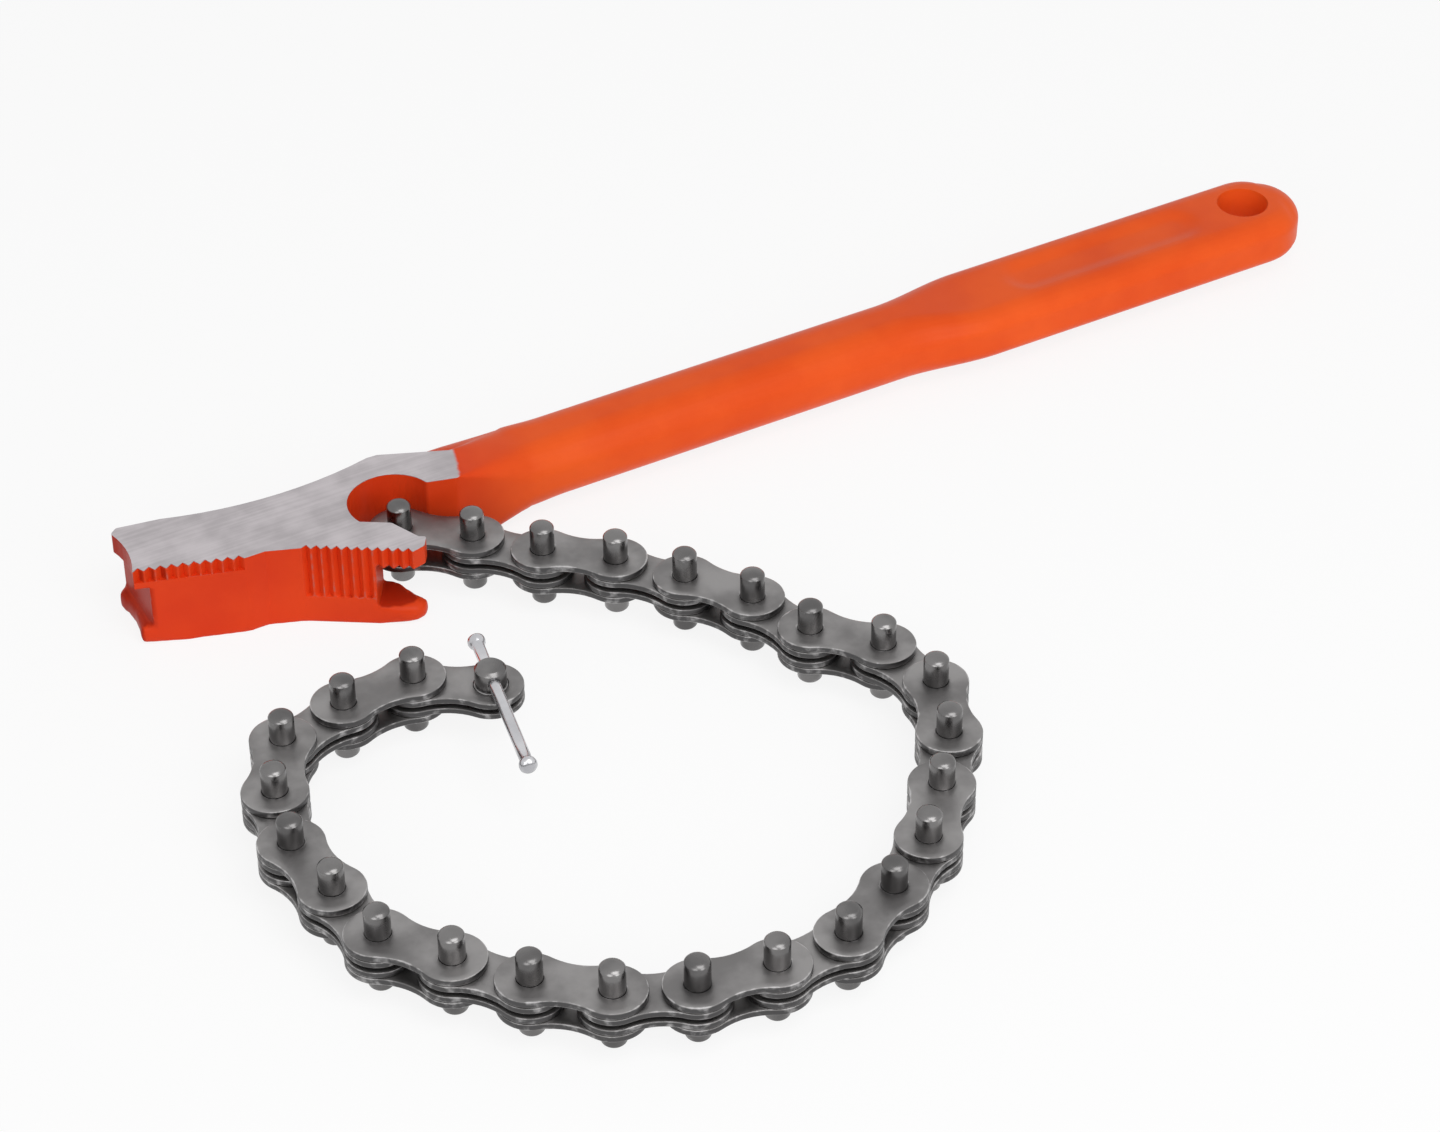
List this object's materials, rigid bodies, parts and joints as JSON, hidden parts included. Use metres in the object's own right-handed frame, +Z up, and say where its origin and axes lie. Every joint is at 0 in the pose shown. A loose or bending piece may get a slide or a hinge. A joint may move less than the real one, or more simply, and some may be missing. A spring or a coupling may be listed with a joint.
{
  "type": "chain wrench",
  "caption": "Chain wrench: a painted forged handle with a toothed jaw and hook throat, a long-pin steel chain hung in the throat, and a sliding T-bar on the chain's free end.",
  "frame": {"origin": "on the lower ground face of the head, below the valley of the jaw, on the centre line of the handle; z = 0 is the surface the wrench lies on", "axes": "+X along the handle from the jaw to the hanging hole, +Y away from the jaw's toothed front, +Z up, along the chain's pins"},
  "size_m": [0.3084, 0.1859, 0.02],
  "materials": {
    "paint": "glossy orange enamel on forged steel, with the flat faces of the head ground bare",
    "chain_plate": "heat-treated dark grey steel, satin",
    "chain_pin": "hardened grey steel, satin",
    "bush": "ground steel",
    "bright_bar": "bright plated steel"
  },
  "bodies": {
    "body": {"wrench_body": "paint"},
    "link_01": {"link_01_outer_plates": "chain_plate", "link_01_pins": "chain_pin"},
    "link_02": {"link_02_inner_plates": "chain_plate", "link_02_bushes": "bush"},
    "link_03": {"link_03_outer_plates": "chain_plate", "link_03_pins": "chain_pin"},
    "link_04": {"link_04_inner_plates": "chain_plate", "link_04_bushes": "bush"},
    "link_05": {"link_05_outer_plates": "chain_plate", "link_05_pins": "chain_pin"},
    "link_06": {"link_06_inner_plates": "chain_plate", "link_06_bushes": "bush"},
    "link_07": {"link_07_outer_plates": "chain_plate", "link_07_pins": "chain_pin"},
    "link_08": {"link_08_inner_plates": "chain_plate", "link_08_bushes": "bush"},
    "link_09": {"link_09_outer_plates": "chain_plate", "link_09_pins": "chain_pin"},
    "link_10": {"link_10_inner_plates": "chain_plate", "link_10_bushes": "bush"},
    "link_11": {"link_11_outer_plates": "chain_plate", "link_11_pins": "chain_pin"},
    "link_12": {"link_12_inner_plates": "chain_plate", "link_12_bushes": "bush"},
    "link_13": {"link_13_outer_plates": "chain_plate", "link_13_pins": "chain_pin"},
    "link_14": {"link_14_inner_plates": "chain_plate", "link_14_bushes": "bush"},
    "link_15": {"link_15_outer_plates": "chain_plate", "link_15_pins": "chain_pin"},
    "link_16": {"link_16_inner_plates": "chain_plate", "link_16_bushes": "bush"},
    "link_17": {"link_17_outer_plates": "chain_plate", "link_17_pins": "chain_pin"},
    "link_18": {"link_18_inner_plates": "chain_plate", "link_18_bushes": "bush"},
    "link_19": {"link_19_outer_plates": "chain_plate", "link_19_pins": "chain_pin"},
    "link_20": {"link_20_inner_plates": "chain_plate", "link_20_bushes": "bush"},
    "link_21": {"link_21_outer_plates": "chain_plate", "link_21_pins": "chain_pin"},
    "link_22": {"link_22_inner_plates": "chain_plate", "link_22_bushes": "bush"},
    "link_23": {"link_23_outer_plates": "chain_plate", "link_23_pins": "chain_pin"},
    "link_24": {"link_24_inner_plates": "chain_plate", "link_24_bushes": "bush"},
    "link_25": {"link_25_outer_plates": "chain_plate", "link_25_pins": "chain_pin"},
    "link_26": {"link_26_inner_plates": "chain_plate", "link_26_bushes": "bush"},
    "end_stud": {"end_stud": "chain_pin"},
    "t_bar": {"t_bar": "bright_bar"}
  },
  "joints": [
    {"name": "link_01_hinge", "type": "hinge", "parent": "body", "child": "link_01", "pos_m": [0.0278, -0.0111, 0.01], "axis": [0, 0, 1], "range_deg": [-40, 15]},
    {"name": "link_02_hinge", "type": "hinge", "parent": "link_01", "child": "link_02", "pos_m": [0.04014, -0.02109, 0.01], "axis": [0, 0, -1], "range_deg": [-45, 35]},
    {"name": "link_03_hinge", "type": "hinge", "parent": "link_02", "child": "link_03", "pos_m": [0.05076, -0.03289, 0.01], "axis": [0, 0, 1], "range_deg": [-30, 45]},
    {"name": "link_04_hinge", "type": "hinge", "parent": "link_03", "child": "link_04", "pos_m": [0.06274, -0.0433, 0.01], "axis": [0, 0, -1], "range_deg": [-45, 25]},
    {"name": "link_05_hinge", "type": "hinge", "parent": "link_04", "child": "link_05", "pos_m": [0.07251, -0.05581, 0.01], "axis": [0, 0, 1], "range_deg": [-20, 45]},
    {"name": "link_06_hinge", "type": "hinge", "parent": "link_05", "child": "link_06", "pos_m": [0.08139, -0.06897, 0.01], "axis": [0, 0, -1], "range_deg": [-45, 15]},
    {"name": "link_07_hinge", "type": "hinge", "parent": "link_06", "child": "link_07", "pos_m": [0.08656, -0.08398, 0.01], "axis": [0, 0, 1], "range_deg": [-15, 45]},
    {"name": "link_08_hinge", "type": "hinge", "parent": "link_07", "child": "link_08", "pos_m": [0.09697, -0.09596, 0.01], "axis": [0, 0, -1], "range_deg": [-45, 10]},
    {"name": "link_09_hinge", "type": "hinge", "parent": "link_08", "child": "link_09", "pos_m": [0.1, -0.11155, 0.01], "axis": [0, 0, 1], "range_deg": [-10, 45]},
    {"name": "link_10_hinge", "type": "hinge", "parent": "link_09", "child": "link_10", "pos_m": [0.09406, -0.12627, 0.01], "axis": [0, 0, -1], "range_deg": [-45, 10]},
    {"name": "link_11_hinge", "type": "hinge", "parent": "link_10", "child": "link_11", "pos_m": [0.0845, -0.13895, 0.01], "axis": [0, 0, 1], "range_deg": [-10, 45]},
    {"name": "link_12_hinge", "type": "hinge", "parent": "link_11", "child": "link_12", "pos_m": [0.07409, -0.15093, 0.01], "axis": [0, 0, -1], "range_deg": [-45, 10]},
    {"name": "link_13_hinge", "type": "hinge", "parent": "link_12", "child": "link_13", "pos_m": [0.06093, -0.1598, 0.01], "axis": [0, 0, 1], "range_deg": [-15, 45]},
    {"name": "link_14_hinge", "type": "hinge", "parent": "link_13", "child": "link_14", "pos_m": [0.04666, -0.16676, 0.01], "axis": [0, 0, -1], "range_deg": [-45, 15]},
    {"name": "link_15_hinge", "type": "hinge", "parent": "link_14", "child": "link_15", "pos_m": [0.03079, -0.16732, 0.01], "axis": [0, 0, 1], "range_deg": [-20, 45]},
    {"name": "link_16_hinge", "type": "hinge", "parent": "link_15", "child": "link_16", "pos_m": [0.01511, -0.16483, 0.01], "axis": [0, 0, -1], "range_deg": [-45, 25]},
    {"name": "link_17_hinge", "type": "hinge", "parent": "link_16", "child": "link_17", "pos_m": [0.00061, -0.15838, 0.01], "axis": [0, 0, 1], "range_deg": [-30, 45]},
    {"name": "link_18_hinge", "type": "hinge", "parent": "link_17", "child": "link_18", "pos_m": [-0.01137, -0.14796, 0.01], "axis": [0, 0, -1], "range_deg": [-45, 45]},
    {"name": "link_19_hinge", "type": "hinge", "parent": "link_18", "child": "link_19", "pos_m": [-0.02136, -0.13562, 0.01], "axis": [0, 0, 1], "range_deg": [-45, 45]},
    {"name": "link_20_hinge", "type": "hinge", "parent": "link_19", "child": "link_20", "pos_m": [-0.03069, -0.12278, 0.01], "axis": [0, 0, -1], "range_deg": [-45, 45]},
    {"name": "link_21_hinge", "type": "hinge", "parent": "link_20", "child": "link_21", "pos_m": [-0.0329, -0.10706, 0.01], "axis": [0, 0, 1], "range_deg": [-45, 45]},
    {"name": "link_22_hinge", "type": "hinge", "parent": "link_21", "child": "link_22", "pos_m": [-0.03428, -0.09125, 0.01], "axis": [0, 0, -1], "range_deg": [-45, 45]},
    {"name": "link_23_hinge", "type": "hinge", "parent": "link_22", "child": "link_23", "pos_m": [-0.03071, -0.07578, 0.01], "axis": [0, 0, 1], "range_deg": [-45, 45]},
    {"name": "link_24_hinge", "type": "hinge", "parent": "link_23", "child": "link_24", "pos_m": [-0.02278, -0.06203, 0.01], "axis": [0, 0, -1], "range_deg": [-30, 45]},
    {"name": "link_25_hinge", "type": "hinge", "parent": "link_24", "child": "link_25", "pos_m": [-0.00744, -0.05792, 0.01], "axis": [0, 0, 1], "range_deg": [-45, 45]},
    {"name": "link_26_hinge", "type": "hinge", "parent": "link_25", "child": "link_26", "pos_m": [0.00842, -0.05737, 0.01], "axis": [0, 0, -1], "range_deg": [-45, 45]},
    {"name": "end_stud_swivel", "type": "hinge", "parent": "link_26", "child": "end_stud", "pos_m": [0.02189, -0.06578, 0.01], "axis": [0, 0, 1], "range_deg": [-45, 35]},
    {"name": "t_bar_slide", "type": "slide", "parent": "end_stud", "child": "t_bar", "axis": [-0.2079, -0.9781, 0], "range_m": [-0.024, 0.006]}
  ]
}
